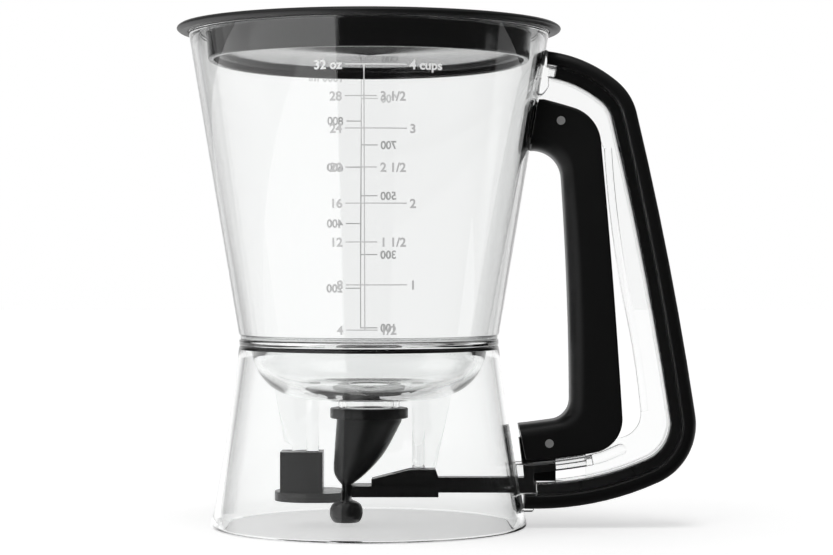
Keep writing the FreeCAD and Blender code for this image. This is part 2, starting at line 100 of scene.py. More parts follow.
# Printed measures: height, left text, right text, long tick
ounce_marks = [
    (164.9, "32 oz", "4 cups", True), (154.2, "28", "3 1/2", False), (143.2, "24", "3", True),
    (129.9, "20", "2 1/2", False), (117.5, "16", "2", True), (104.1, "12", "1 1/2", False),
    (89.2, "8", "1", True), (73.4, "4", "1/2", False),
]
ml_marks = [
    (172.5, "1000 ml"), (164.6, "900"), (155.8, "800"), (146.6, "700"), (137.9, "600"),
    (127.0, "500"), (116.3, "400"), (104.4, "300"), (91.5, "200"), (76.4, "100"),
]
# over_lid_z: above this height the print's painted glow is brighter
print_height, line_half, over_lid_z = 3.1, 0.2, 162.6
capital_share, letter_weight = 0.72, 0.13

# Studio: the softbox spans these degrees to the left, and levels are what other rays than the camera's see
softbox_edge, softbox_far = 19.6, 118.0
softbox_level, dim_level, top_level = 0.6, 0.05, 0.3
floor_left_level, floor_dim_level, floor_glow = 1.7, 0.06, 0.56
back_from, back_width, top_from, top_width = 0.72, 0.2, 0.45, 0.4
paper_front_y, paper_bright_y, paper_bright_width, paper_grey = -0.075, -0.03, 0.12, 0.86
sun_strength, sun_spread, sun_lean = 0.55, 22, 10

# Camera in metres and degrees
camera_place, camera_dip, camera_lens = (0.0175, -0.870, 0.0968), 0.352, 101.87


def grain_group():
    """Shared effect: a base colour and roughness varied by fine and broad noise, with a height."""
    group = bpy.data.node_groups.new("surface_grain", "ShaderNodeTree")
    face = group.interface
    face.new_socket("Colour", in_out="INPUT", socket_type="NodeSocketColor")
    for name in ("Roughness", "Scale", "Variation"):
        face.new_socket(name, in_out="INPUT", socket_type="NodeSocketFloat")
    face.new_socket("Colour", in_out="OUTPUT", socket_type="NodeSocketColor")
    face.new_socket("Roughness", in_out="OUTPUT", socket_type="NodeSocketFloat")
    face.new_socket("Height", in_out="OUTPUT", socket_type="NodeSocketFloat")
    nodes, links = group.nodes, group.links
    given = nodes.new("NodeGroupInput")
    out = nodes.new("NodeGroupOutput")
    where = nodes.new("ShaderNodeTexCoord")
    broad = nodes.new("ShaderNodeTexNoise")
    broad.inputs["Scale"].default_value = 18.0
    fine = nodes.new("ShaderNodeTexNoise")
    fine.inputs["Detail"].default_value = 3.0
    for noise in (broad, fine):
        links.new(where.outputs["Object"], noise.inputs["Vector"])
    links.new(given.outputs["Scale"], fine.inputs["Scale"])
    spread = nodes.new("ShaderNodeMath")
    spread.operation = "MULTIPLY_ADD"
    centre = nodes.new("ShaderNodeMath")
    centre.operation = "SUBTRACT"
    centre.inputs[1].default_value = 0.5
    links.new(broad.outputs["Fac"], centre.inputs[0])
    links.new(centre.outputs[0], spread.inputs[0])
    links.new(given.outputs["Variation"], spread.inputs[1])
    spread.inputs[2].default_value = 1.0
    tint = nodes.new("ShaderNodeVectorMath")
    tint.operation = "SCALE"
    links.new(given.outputs["Colour"], tint.inputs[0])
    links.new(spread.outputs[0], tint.inputs["Scale"])
    rough = nodes.new("ShaderNodeMath")
    rough.operation = "MULTIPLY"
    rough.use_clamp = True
    links.new(given.outputs["Roughness"], rough.inputs[0])
    links.new(spread.outputs[0], rough.inputs[1])
    links.new(tint.outputs[0], out.inputs["Colour"])
    links.new(rough.outputs[0], out.inputs["Roughness"])
    links.new(fine.outputs["Fac"], out.inputs["Height"])
    return group


grain = grain_group()


def finish(name, colour, roughness, scale, variation, bump, **fixed):
    """A material from the shared grain. Fixed values go straight onto the shader's sockets."""
    made = bpy.data.materials.new(name)
    made.use_nodes = True
    nodes, links = made.node_tree.nodes, made.node_tree.links
    shader = nodes["Principled BSDF"]
    grained = nodes.new("ShaderNodeGroup")
    grained.node_tree = grain
    grained.inputs["Colour"].default_value = (*colour, 1.0)
    grained.inputs["Roughness"].default_value = roughness
    grained.inputs["Scale"].default_value = scale
    grained.inputs["Variation"].default_value = variation
    links.new(grained.outputs["Colour"], shader.inputs["Base Color"])
    links.new(grained.outputs["Roughness"], shader.inputs["Roughness"])
    if bump > 0:
        relief = nodes.new("ShaderNodeBump")
        relief.inputs["Distance"].default_value = bump * MM
        relief.inputs["Strength"].default_value = 1.0
        links.new(grained.outputs["Height"], relief.inputs["Height"])
        links.new(relief.outputs["Normal"], shader.inputs["Normal"])
    for socket, value in fixed.items():
        shader.inputs[socket.replace("_", " ")].default_value = value
    return made


def painted_glow_over_lid(material):
    """Paints a glow into the print: a grey emission, brighter above over_lid_z where the print lies over the
    black lid.
    """
    tree = material.node_tree
    where = tree.nodes.new("ShaderNodeTexCoord")
    split = tree.nodes.new("ShaderNodeSeparateXYZ")
    ramp = tree.nodes.new("ShaderNodeValToRGB")
    rise = tree.nodes.new("ShaderNodeMath")
    rise.operation = "GREATER_THAN"
    rise.inputs[1].default_value = over_lid_z * MM
    # Painted glow colours: dimmer below over_lid_z, brighter above it
    ramp.color_ramp.elements[0].color = (0.36, 0.36, 0.36, 1.0)
    ramp.color_ramp.elements[1].color = (0.6, 0.6, 0.6, 1.0)
    tree.links.new(where.outputs["Object"], split.inputs[0])
    tree.links.new(split.outputs["Z"], rise.inputs[0])
    tree.links.new(rise.outputs[0], ramp.inputs["Fac"])
    shader = tree.nodes["Principled BSDF"]
    tree.links.new(ramp.outputs["Color"], shader.inputs["Emission Color"])


clear = finish("clear_plastic_shell", (0.985, 0.99, 0.988), 0.012, 60, 0.02, 0.0,
               Transmission_Weight=1.0, IOR=1.46)
seal = finish("seal_silicone_soft", (0.9, 0.91, 0.91), 0.2, 900, 0.1, 0.02,
              Transmission_Weight=0.85, IOR=1.41)
gloss = finish("black_gloss_moulded", (0.004, 0.004, 0.0042), 0.09, 700, 0.3, 0.0, IOR=1.45)
satin = finish("black_plastic_satin", (0.005, 0.005, 0.0052), 0.26, 1500, 0.3, 0.0, IOR=1.36)
soft = finish("soft_grip_matt", (0.011, 0.011, 0.0113), 0.42, 2600, 0.3, 0.006, IOR=1.4)
boot = finish("boot_silicone_satin", (0.006, 0.006, 0.0062), 0.34, 1200, 0.3, 0.01, IOR=1.36)
steel = finish("steel_pin", (0.78, 0.78, 0.77), 0.55, 2200, 0.15, 0.01, Metallic=0.6)
# Grey print ink that also glows: its emission is painted light that sets how bright the print reads
ink = finish("grey_print_painted_glow", (0.3, 0.3, 0.3), 0.5, 1800, 0.15, 0.0,
             Emission_Strength=1.0)
painted_glow_over_lid(ink)
by_slot = {
    "clear_plastic": clear, "seal_silicone": seal, "black_gloss": gloss, "black_plastic": satin,
    "soft_grip": soft, "boot_silicone": boot, "steel": steel,
}
slot_of = {part["node"]: part["material_slot"] for part in frame["record"]["subparts"]}
for node, shape in frame["nodes"].items():
    for holder in shape.material_slots:
        holder.material = by_slot[slot_of[node]]


def place(name, bm, material, body, nodes=(), crease=34.0):
    """Turns a bmesh in millimetres into a smooth piece that moves with a body."""
    bmesh.ops.remove_doubles(bm, verts=bm.verts[:], dist=1e-5)
    bmesh.ops.recalc_face_normals(bm, faces=bm.faces[:])
    bmesh.ops.scale(bm, vec=(MM, MM, MM), verts=bm.verts[:])
    for face in bm.faces:
        face.smooth = True
    for edge in bm.edges:
        edge.smooth = len(edge.link_faces) == 2 and edge.calc_face_angle(0.0) < math.radians(crease)
    mesh = bpy.data.meshes.new(name)
    bm.to_mesh(mesh)
    bm.free()
    mesh.materials.append(material)
    piece = bpy.data.objects.new(name, mesh)
    bpy.context.scene.collection.objects.link(piece)
    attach(piece, body)
    if nodes:
        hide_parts(*nodes)
    return piece


def soften(points, radius, steps=5):
    """A closed outline with its sharp corners rounded."""
    made = []
    for before, here, after in zip(points[-1:] + points[:-1], points, points[1:] + points[:1]):
        a = Vector(before) - Vector(here)
        b = Vector(after) - Vector(here)
        bend = math.pi - a.angle(b)
        reach = min(radius * math.tan(bend / 2), a.length * 0.45, b.length * 0.45)
        if bend < math.radians(25) or radius <= 0:
            made.append(tuple(here))
            continue
        start = Vector(here) + a.normalized() * reach
        end = Vector(here) + b.normalized() * reach
        for i in range(steps + 1):
            t = i / steps
            made.append(tuple(start * (1 - t) ** 2 + Vector(here) * 2 * t * (1 - t) + end * t ** 2))
    return made


def spun(points, radius=0.3):
    """A closed (radius, height) outline turned round the axis."""
    bm = bmesh.new()
    verts = [bm.verts.new((max(r, 0.0), 0.0, z)) for r, z in soften(points, radius)]
    for a, b in zip(verts, verts[1:] + verts[:1]):
        if a.co.x > 1e-6 or b.co.x > 1e-6:
            bm.edges.new((a, b))
    bmesh.ops.spin(bm, geom=bm.verts[:] + bm.edges[:], cent=(0, 0, 0), axis=(0, 0, 1),
                   angle=2 * math.pi, steps=round_steps, use_merge=True)
    return bm


def arc_points(a, mid, b, steps=14):
    """Points on a gentle curve from a through mid to b."""
    bend = Vector(mid) * 2 - (Vector(a) + Vector(b)) / 2
    made = []
    for i in range(steps + 1):
        t = i / steps
        made.append(tuple(Vector(a) * (1 - t) ** 2 + bend * 2 * t * (1 - t) + Vector(b) * t ** 2))
    return made

def cone_radius(z):
    """The reservoir's outer radius at a height."""
    return waist_radius + (z - reservoir_bottom_z) * wall_slope


def skirt_side(outward=0.0):
    """The skirt's gently drawn-in side from foot to top, moved outward by a little where asked."""
    foot, waist = foot_radius + outward, waist_radius + outward
    middle = (foot_radius + waist_radius) / 2 - skirt_hollow + outward
    return arc_points((foot, 0), (middle, skirt_height / 2), (waist, skirt_height))


def loose(bm):
    """A bmesh in millimetres as an object for boolean work."""
    bmesh.ops.remove_doubles(bm, verts=bm.verts[:], dist=1e-5)
    bmesh.ops.recalc_face_normals(bm, faces=bm.faces[:])
    mesh = bpy.data.meshes.new("loose")
    bm.to_mesh(mesh)
    bm.free()
    made = bpy.data.objects.new("loose", mesh)
    bpy.context.scene.collection.objects.link(made)
    return made


def carved(base, adds=(), cuts=()):
    """The union of some solids less the cutters, as a bmesh in millimetres."""
    holder = loose(base)
    tools = []
    for kind, group in (("UNION", adds), ("DIFFERENCE", cuts)):
        for other in group:
            tools.append(loose(other))
            step = holder.modifiers.new(kind, "BOOLEAN")
            step.operation = kind
            step.solver = "EXACT"
            step.object = tools[-1]
    bpy.context.view_layer.update()
    seen = holder.evaluated_get(bpy.context.evaluated_depsgraph_get())
    bm = bmesh.new()
    bm.from_mesh(seen.data)
    for spare in [holder] + tools:
        bpy.data.objects.remove(spare)
    return bm


def block(x0, x1, y0, y1, z0, z1):
    """A plain box between two corners."""
    bm = bmesh.new()
    bmesh.ops.create_cube(bm, size=1.0)
    bmesh.ops.scale(bm, vec=(x1 - x0, y1 - y0, z1 - z0), verts=bm.verts[:])
    bmesh.ops.translate(bm, vec=((x0 + x1) / 2, (y0 + y1) / 2, (z0 + z1) / 2), verts=bm.verts[:])
    return bm


def rounded_edges(bm, radius):
    """Rounds every sharp edge of a solid."""
    bmesh.ops.recalc_face_normals(bm, faces=bm.faces[:])
    sharp = [e for e in bm.edges if len(e.link_faces) == 2 and e.calc_face_angle(0.0) > math.radians(40)]
    bmesh.ops.bevel(bm, geom=sharp, offset=radius, offset_type="OFFSET", segments=4, profile=0.5,
                    affect="EDGES", material=-1, clamp_overlap=True)
    return bm


def prism(points, half, edge_round=0.0):
    """A side view outline made thick to both sides."""
    bm = bmesh.new()
    face = bm.faces.new([bm.verts.new((x, -half, z)) for x, z in points])
    grown = bmesh.ops.extrude_face_region(bm, geom=[face])
    verts = [v for v in grown["geom"] if isinstance(v, bmesh.types.BMVert)]
    bmesh.ops.translate(bm, vec=(0, 2 * half, 0), verts=verts)
    return rounded_edges(bm, edge_round) if edge_round > 0 else bm


def side_pin(x, z, radius, y0, y1, steps=48):
    """A round bar that lies across, from y0 to y1."""
    bm = bmesh.new()
    bmesh.ops.create_cone(bm, cap_ends=True, segments=steps, radius1=radius, radius2=radius, depth=y1 - y0)
    bmesh.ops.rotate(bm, verts=bm.verts[:], cent=(0, 0, 0), matrix=Matrix.Rotation(math.pi / 2, 3, "X"))
    bmesh.ops.translate(bm, vec=(x, (y0 + y1) / 2, z), verts=bm.verts[:])
    return bm


def bridged(loops):
    """A solid through a row of matching loops, closed at both ends."""
    bm = bmesh.new()
    rings = []
    for loop in loops:
        verts = [bm.verts.new(p) for p in loop]
        edges = [bm.edges.new(pair) for pair in zip(verts, verts[1:] + verts[:1])]
        rings.append((verts, edges))
    for (_, low), (_, high) in zip(rings, rings[1:]):
        bmesh.ops.bridge_loops(bm, edges=low + high)
    bm.faces.new(rings[0][0])
    bm.faces.new(rings[-1][0])
    return bm


def eased(sections, steps=7):
    """Oval sections (centre, half x, half y, z) with a smooth curve's put between them."""
    padded = [sections[0]] + sections + [sections[-1]]
    made = [sections[0]]
    for p, a, b, n in zip(padded, padded[1:], padded[2:], padded[3:]):
        for i in range(1, steps + 1):
            t = i / steps
            weights = (-t + 2 * t**2 - t**3, 2 - 5 * t**2 + 3 * t**3, t + 4 * t**2 - 3 * t**3, t**3 - t**2)
            made.append(tuple(sum(w * v for w, v in zip(weights, four)) / 2 for four in zip(p, a, b, n)))
    return made


def ovals(sections, count=72):
    """A level loop of points for each oval section."""
    turn = [2 * math.pi * i / count for i in range(count)]
    return [[(cx + hx * math.cos(a), hy * math.sin(a), z) for a in turn] for cx, hx, hy, z in sections]


def stations(start, heading, moves, steps):
    """Places (x, z, heading) spread evenly along tangent arcs."""
    lengths = [radius * math.radians(abs(turn)) for radius, turn in moves]
    total = sum(lengths)
    made = []
    for i in range(steps + 1):
        left = total * i / steps
        x, z, h = start[0], start[1], math.radians(heading)
        for (radius, turn), length in zip(moves, lengths):
            part = min(left, length)
            side = math.copysign(1.0, turn)
            cx, cz = x - side * radius * math.sin(h), z + side * radius * math.cos(h)
            h += side * part / radius
            x, z = cx + side * radius * math.sin(h), cz - side * radius * math.cos(h)
            left -= part
        made.append((x, z, h))
    return made


def corner(y, offset, radius, start, steps=8):
    """Points of a quarter round in a section, round its own centre."""
    return [(y + radius * math.cos(math.radians(start + 90 * i / steps)),
             offset + radius * math.sin(math.radians(start + 90 * i / steps))) for i in range(steps + 1)]


def block_section(half, low, high, low_round, high_round):
    """A rounded rectangle of (y, offset) points."""
    made = corner(half - high_round, high - high_round, high_round, 0)
    made += corner(high_round - half, high - high_round, high_round, 90)
    made += corner(low_round - half, low + low_round, low_round, 180)
    return made + corner(half - low_round, low + low_round, low_round, 270)


def swept(places, section):
    """A section carried along the side view chain, offsets to its outer side."""
    loops = []
    for x, z, h in places:
        loops.append([(x - off * math.sin(h), y, z + off * math.cos(h)) for y, off in section])
    return bridged(loops)


def offset_points(places, offset):
    """The chain's (x, z) points, moved to its outer side."""
    return [(x - offset * math.sin(h), z + offset * math.cos(h)) for x, z, h in places]


def reservoir():
    """Clear cone, open at both ends, with a straight mouth for the lid's plug."""
    inner = waist_radius - wall
    mouth_z = reservoir_bottom_z + (mouth_radius - inner) / wall_slope
    top_z = rim_z - hair
    outline = [(inner, reservoir_bottom_z), (waist_radius, reservoir_bottom_z), (rim_radius, top_z),
               (mouth_radius, top_z), (mouth_radius, mouth_z)]
    place("reservoir_shell", spun(outline, 0.5), clear, "root", ["reservoir_wall"])


def skirt():
    """Clear skirt with the slot that the slider's bar runs through."""
    outline = skirt_side() + skirt_side(-wall)[::-1]
    slot = block(*slot_span_x, -slot_half, slot_half, slot_low_z, slot_high_z)
    shell = carved(spun(outline, 0.9), cuts=[slot])
    place("skirt_shell", shell, clear, "root", ["base_skirt"])


def bowl():
    """Clear funnel bowl with its flange on the skirt, its collar and its spigot."""
    under = arc_points((bowl_floor_radius, bowl_floor_z), bowl_middle, (bowl_shoulder - 1.6, bowl_drop_z))
    over = arc_points((bowl_shoulder - 4.0, bowl_drop_z + 0.8), (bowl_middle[0] - 1.3, bowl_middle[1] + 2.4),
                      (bowl_floor_radius - 1.0, bowl_floor_z + 2.4))
    flange_low_z, flange_high_z = skirt_height + hair, flange_top_z - hair
    outline = [(bore_radius, spigot_bottom_z), (spigot_radius, spigot_bottom_z),
               (spigot_radius, collar_bottom_z), (collar_radius, collar_bottom_z),
               (collar_radius, bowl_floor_z)] + under
    outline += [(bowl_shoulder, flange_low_z), (waist_radius, flange_low_z), (waist_radius, flange_high_z),
                (waist_radius - wall, flange_high_z)] + over + [(bore_radius, bowl_floor_z + 1.8)]
    place("bowl_shell", spun(outline, 0.8), clear, "root", ["funnel_bowl"])


def waist_joint():
    """Silicone band between reservoir and bowl, and a black ring of painted shade under the bowl's flange
    for the joint's dark seam.
    """
    inner, outer = waist_radius - wall, waist_radius - 0.5
    low_z, high_z = flange_top_z + hair, reservoir_bottom_z - hair
    outline = [(inner, low_z), (outer, low_z), (outer, high_z), (inner, high_z)]
    place("seal_band", spun(outline, 0.4), seal, "root", ["bowl_seal"])
    # Painted shade: a black ring where the joint between flange and skirt shows a dark seam
    lip_and_shade_ring = [(46.4, 64.9), (47.5, 65.2), (47.5, 66.8), (46.4, 66.8)]
    place("waist_joint_painted_shade_ring", spun(lip_and_shade_ring, 0.3), boot, "root")


def lid():
    """Gloss plug with its sunk pan, and the soft rim round it."""
    outline = [(0, pan_z - 2.0), (57.0, pan_z - 2.0), (57.0, 171.5), (59.2, 171.5), (60.0, rim_z),
               (plug_flange_radius, rim_z), (plug_flange_radius, rim_z + plug_flange_thick),
               (57.8, rim_z + plug_flange_thick), (57.2, pan_z), (0, pan_z)]
    place("lid_plug_turned", spun(outline, 0.7), gloss, "lid", ["lid_plug"])
    seat_radius, seat_z = plug_flange_radius + hair, rim_z + plug_flange_thick + hair
    edge = [(seat_radius, rim_z)]
    edge += arc_points((69.3, rim_z), (lid_radius, rim_z + 1.3), (69.3, lid_top_z), 12)
    edge += [(62.4, lid_top_z), (62.4, seat_z), (seat_radius, seat_z)]
    place("lid_soft_rim", spun(edge, 0.5), soft, "lid", ["lid_rim"])


def boot_ring():
    """Black ring that clamps the boot to the spigot."""
    outline = [(12.05, 39.6), (14.4, 39.6), (14.4, 43.38), (12.05, 43.38)]
    place("boot_ring", spun(outline, 0.5), satin, "root", ["nozzle_retaining_ring"])


def nozzle_boot():
    """Soft boot, pinched flat above its round outlet."""
    inside = spigot_radius + hair
    hollow = eased([(pinch_x, 0.05, pinch_bore, pinch_top_z), (-6.9, 4.2, 7.8, 19.4), (-3.5, 7.5, 8.8, 27.0),
                    (0.0, inside, inside, spigot_bottom_z)])
    cuff = [(0.0, inside, inside, 43.35), (0.0, 12.0, 12.0, 43.35), (0.0, 12.0, 12.0, 38.4)]
    outside = eased([cuff[-1], (-3.5, 9.3, 10.6, 27.0), (-6.9, 6.0, 9.6, 19.4),
                     (pinch_x, 1.8, pinch_half_width, pinch_top_z)])[1:]
    outlet = eased([(pinch_x, 1.8, pinch_half_width, 9.2), (pinch_x - 0.1, 5.0, 6.9, 7.9),
                    (pinch_x - 0.2, 6.1, 6.2, 5.8)], 4)
    lip_line = [(6.1, 4.4), (5.9, 3.2), (5.5, 2.2), (5.0, 1.5), (4.5, 1.1), (4.3, 1.2), (4.2, 3.0),
                (4.2, 5.8)]
    lip_and_shade_ring = [(pinch_x - 0.2, r, r, z) for r, z in lip_line]
    throat = [(pinch_x, 0.06, pinch_bore, 8.8)]
    place("boot_soft", bridged(ovals(hollow + cuff + outside + outlet + lip_and_shade_ring + throat)), boot, "root",
          ["nozzle_boot"], 60.0)


def loop_chain():
    """Places along the handle's parting line, closer together where it turns more."""
    made = []
    here, turned = loop_start, loop_heading
    for move in loop_moves:
        part = stations(here, turned, [move], max(6, int(abs(move[1]) / 2.5)))
        made += part if not made else part[1:]
        here, turned = part[-1][:2], turned + move[1]
    return made


def grip_cover():
    """Soft cap on the handle's outer side."""
    section = block_section(grip_half, hair, cap_thick, 0.5, 3.6)
    place("grip_cover", swept(loop_places, section), soft, "root", ["handle_grip_cover"])


def band():
    """Clear band under the cap, with the groove that takes the insert."""
    section = [(band_half, -fit_gap), (groove_half, -fit_gap), (groove_half, -groove_depth),
               (-groove_half, -groove_depth), (-groove_half, -fit_gap), (-band_half, -fit_gap)]
    section += corner(band_round - band_half, -groove_depth, band_round, 180, 4)
    section += corner(band_half - band_round, -groove_depth, band_round, 270, 4)
    return swept(loop_places, section)


def web_and_rail():
    """Thin web inside the band, the bead on its edge, and the lower rail with its rounded nose."""
    edge_places = stations(web_edge_start, web_edge_heading, web_edge_moves[:2], 48)
    edge_full = stations(web_edge_start, web_edge_heading, web_edge_moves, 96)
    rail_places = stations(rail_start, rail_heading, rail_moves, 14)
    nose_places = stations(rail_places[-1][:2], rail_heading + rail_moves[0][1], rail_nose_moves, 8)
    tip_x, tip_z, tip_h = nose_places[-1]
    end_x, end_z = tip_x + nose_reach * math.cos(tip_h), tip_z + nose_reach * math.sin(tip_h)
    nose_places.append((end_x, end_z, tip_h))
    inner_line = offset_points(loop_places, -web_inset)
    top_z = inner_line[0][1]
    line = inner_line + [(rail_start[0], inner_line[-1][1])] + [(x, z) for x, z, _ in rail_places]
    line += [(tip_x, tip_z)] + [(x, z) for x, z, _ in edge_full[::-1]]
    line += [(web_edge_start[0] - 2.2, web_low_z), (cone_radius(web_low_z) - 1.0, web_low_z),
             (cone_radius(top_z) - 1.0, top_z)]
    turns = [tip_h - math.pi / 2 + math.pi * i / 12 for i in range(1, 12)]
    nose_end = [(end_x + rail_half * math.cos(a), end_z + rail_half * math.sin(a)) for a in turns]
    nose_line = offset_points(nose_places, -rail_half) + nose_end
    nose_line += offset_points(nose_places, rail_half)[::-1]
    bead = swept(edge_places, block_section(2.5, 0.0, 2.8, 1.39, 1.39))
    rail = swept(rail_places, block_section(6.4, -rail_half, rail_half, 1.85, 1.85))
    return [prism(line, 1.5), bead, rail, prism(nose_line, 3.4, 1.5)]


def handle_frame():
    """The clear handle as one solid: band, web, bead, rail, both roots and the pivot's boss."""
    root_line = [(40.0, 158.4), (64.0, 158.4), (66.0, 161.4), (66.0, 174.8), (40.0, 174.8)]
    upper_root = prism(root_line, band_half, 1.2)
    lower_root = rounded_edges(block(40, 60.5, -band_half, band_half, 5.6, 23.2), 1.0)
    boss = side_pin(pivot_x, pivot_z, 5.2, -3.7, 1.5)
    cone_core = [(0, reservoir_bottom_z - 0.5), (waist_radius, reservoir_bottom_z - 0.5),
                 (waist_radius + fit_gap, reservoir_bottom_z), (rim_radius + fit_gap, rim_z), (0, rim_z)]
    skirt_core = [(0, -1)] + skirt_side(fit_gap) + [(0, skirt_height)]
    bar_channel = block(0, slot_end_x, -channel_half, channel_half, slot_low_z, skirt_height)
    upright_channel = block(0, upright_end_x, -channel_half, channel_half, upright_low_z, skirt_height)
    pivot_hole = side_pin(pivot_x, pivot_z, pin_radius + fit_gap, -60, 60)
    solid = carved(band(), adds=[*web_and_rail(), upper_root, lower_root, boss],
                   cuts=[bar_channel, upright_channel, spun(cone_core, 0), spun(skirt_core, 0), pivot_hole])
    place("handle_clear_frame", solid, clear, "root", ["handle_frame"])


def grip_insert():
    """Black insert in the band's groove, and the cheeks beside the slider's bar at its foot."""
    insert_places = [p for p in loop_places if p[0] > (67.2 if p[1] > 100 else slot_end_x + 1.0)]
    foot_places = [p for p in loop_places if 59.5 < p[0] < insert_places[-1][0] + 0.1 and p[1] < 40]
    for name, near, far in (("insert_cheek_front", -insert_half, cheek_thick - insert_half),
                            ("insert_cheek_back", insert_half - cheek_thick, insert_half)):
        section = [(near, insert_low), (far, insert_low), (far, insert_high), (near, insert_high)]
        place(name, swept(foot_places, section), satin, "root")
    section = block_section(insert_half, insert_low, insert_high, 0.3, 0.3)
    insert = swept(insert_places, section)
    place("grip_insert", insert, satin, "root", ["handle_grip_insert"])


def valve_post(name, node, column_x, low_z, column_round, fin_points, extras=()):
    """A clear post with its web, fitted under the bowl."""
    column = rounded_edges(block(*column_x, -post_half, post_half, low_z, skirt_height), column_round)
    fin = prism(fin_points, fin_half, 0.25)
    shoulder = bowl_shoulder + fit_gap
    under = arc_points((bowl_floor_radius, bowl_floor_z - fit_gap), bowl_middle,
                       (bowl_shoulder - 1.56, bowl_drop_z))
    under += [(shoulder, skirt_height), (shoulder, skirt_height + 1)]
    bowl_core = [(0, bowl_floor_z - fit_gap), (0, skirt_height + 1)] + under[::-1]
    solid = carved(column, adds=[fin, *extras], cuts=[spun(bowl_core, 0)])
    place(name, solid, clear, "root", [node])


def valve_posts():
    """The left post carries the bracket, and the right one guides the slider with its tongue."""
    middle_x = sum(left_column_x) / 2
    fin = [(middle_x, left_low_z), (-28.3, left_low_z), (-28.3, 29.4), (-31.3, 30.9), (-37.8, skirt_height),
           (middle_x, skirt_height)]
    valve_post("post_left_clear", "valve_post_left", left_column_x, left_low_z, 2.25, fin)
    middle_x = sum(right_column_x) / 2
    fin = [(middle_x, right_low_z), (24.7, right_low_z), (34.2, skirt_height), (middle_x, skirt_height)]
    tongue = rounded_edges(block(*right_column_x, -tongue_half, tongue_half, 16.6, 22.0), 0.3)
    valve_post("post_right_clear", "valve_post_right", right_column_x, right_low_z, 2.2, fin, [tongue])


def pins():
    """The two steel pins, a hair proud of the trigger's sides."""
    for name, node, x, z, body in (("pivot_pin_round", "trigger_pivot_pin", pivot_x, pivot_z, "root"),
                                   ("link_pin_round", "link_pin", link_x, link_z, "trigger")):
        pin = side_pin(x, z, pin_radius, -grip_half - fit_gap, grip_half + fit_gap)
        place(name, pin, steel, body, [node])


def trigger_section(depth):
    """A section of the trigger's cover: round at the front, open at the back for the core."""
    skin = depth - trigger_skin
    centre = grip_half - trigger_round
    made = corner(centre, depth - trigger_round, trigger_round, 0)
    made += corner(-centre, depth - trigger_round, trigger_round, 90)
    made += [(-grip_half, 0.8), (-9.4, 0.0), (-core_half, 0.0), (-core_half, skin), (core_half, skin)]
    return made + [(core_half, 0.0), (9.4, 0.0), (grip_half, 0.8)]


def trigger_cover():
    """Soft cover of the trigger between its back and front lines, ending just off the cone."""
    loops = []
    f_here, f_turn, b_here, b_turn = front_start, front_heading, back_start, back_heading
    for f_moves, b_moves, steps in zip(front_groups, back_groups, group_steps):
        f_part = stations(f_here, f_turn, f_moves, steps)
        b_part = stations(b_here, b_turn, b_moves, steps)
        f_here, b_here = f_part[-1][:2], b_part[-1][:2]
        f_turn += sum(turn for _, turn in f_moves)
        b_turn += sum(turn for _, turn in b_moves)
        first = 1 if loops else 0
        for (fx, fz, _), (bx, bz, _) in list(zip(f_part, b_part))[first:]:
            depth = math.hypot(fx - bx, fz - bz)
            ux, uz = (fx - bx) / depth, (fz - bz) / depth
            loops.append([(bx + ux * d, y, bz + uz * d) for y, d in trigger_section(depth)])
    near_cone = [(math.sqrt((cone_radius(z) + cone_gap) ** 2 - y * y), y, z) for _, y, z in loops[0]]
    solid = bridged([near_cone] + loops)
    place("trigger_soft", solid, soft, "trigger", ["trigger_grip_cover"])


def on_cone(x, z, behind, lift=0.06):
    """A place on the reservoir's outside, a hair off it."""
    radius = cone_radius(z) + lift
    y = math.sqrt(radius * radius - x * x)
    return (x, y if behind else -y, z)


def bar_print(bm, x0, x1, z0, z1, behind):
    """A printed bar laid on the cone."""
    across = max(1, int(abs(x1 - x0) / 1.5))
    up = max(1, int(abs(z1 - z0) / 6.0))
    rows = []
    for j in range(up + 1):
        z = z0 + (z1 - z0) * j / up
        places = [x0 + (x1 - x0) * i / across for i in range(across + 1)]
        rows.append([bm.verts.new(on_cone(x, z, behind)) for x in places])
    for low, high in zip(rows, rows[1:]):
        for i in range(across):
            bm.faces.new((low[i], low[i + 1], high[i + 1], high[i]))


def text_print(bm, words, x, z, align, behind):
    """Printed words laid on the cone, centred on height z."""
    curve = bpy.data.curves.new("words", "FONT")
    curve.body = words
    curve.size = print_height / capital_share
    curve.align_x = align
    curve.offset = letter_weight
    holder = bpy.data.objects.new("words", curve)
    bpy.context.scene.collection.objects.link(holder)
    bpy.context.view_layer.update()
    flat = bpy.data.meshes.new_from_object(holder.evaluated_get(bpy.context.evaluated_depsgraph_get()))
    side = -1.0 if behind else 1.0
    for vertex in flat.vertices:
        vertex.co = Vector(on_cone(x + side * vertex.co.x, z - print_height / 2 + vertex.co.y, behind))
    bm.from_mesh(flat)
    bpy.data.objects.remove(holder)
    bpy.data.meshes.remove(flat)


def front_measure():
    """Ounces to the left and cups to the right of the line."""
    bm = bmesh.new()
    bar_print(bm, -0.7, -0.3, ounce_marks[-1][0] - line_half, ounce_marks[0][0] + line_half, False)
    for z, left, right, long_tick in ounce_marks:
        bar_print(bm, -7.1, 14.2 if long_tick else 3.9, z - line_half, z + line_half, False)
        text_print(bm, left, -8.1, z, "RIGHT", False)
        text_print(bm, right, 15.2 if long_tick else 5.0, z, "LEFT", False)
    place("print_front", bm, ink, "root")


def back_measure():
    """Millilitres, to both sides of the line by turns."""
    bm = bmesh.new()
    bar_print(bm, -4.6, -4.2, ml_marks[-1][0] - line_half, ml_marks[0][0] + line_half, True)
    for index, (z, words) in enumerate(ml_marks):
        on_left = index % 2 == 0
        x0, x1 = (-10.4, -4.4) if on_left else (-4.4, 2.4)
        bar_print(bm, x0, x1, z - line_half, z + line_half, True)
        text_print(bm, words, -11.6 if on_left else 3.6, z, "LEFT" if on_left else "RIGHT", True)
    place("print_back", bm, ink, "root")


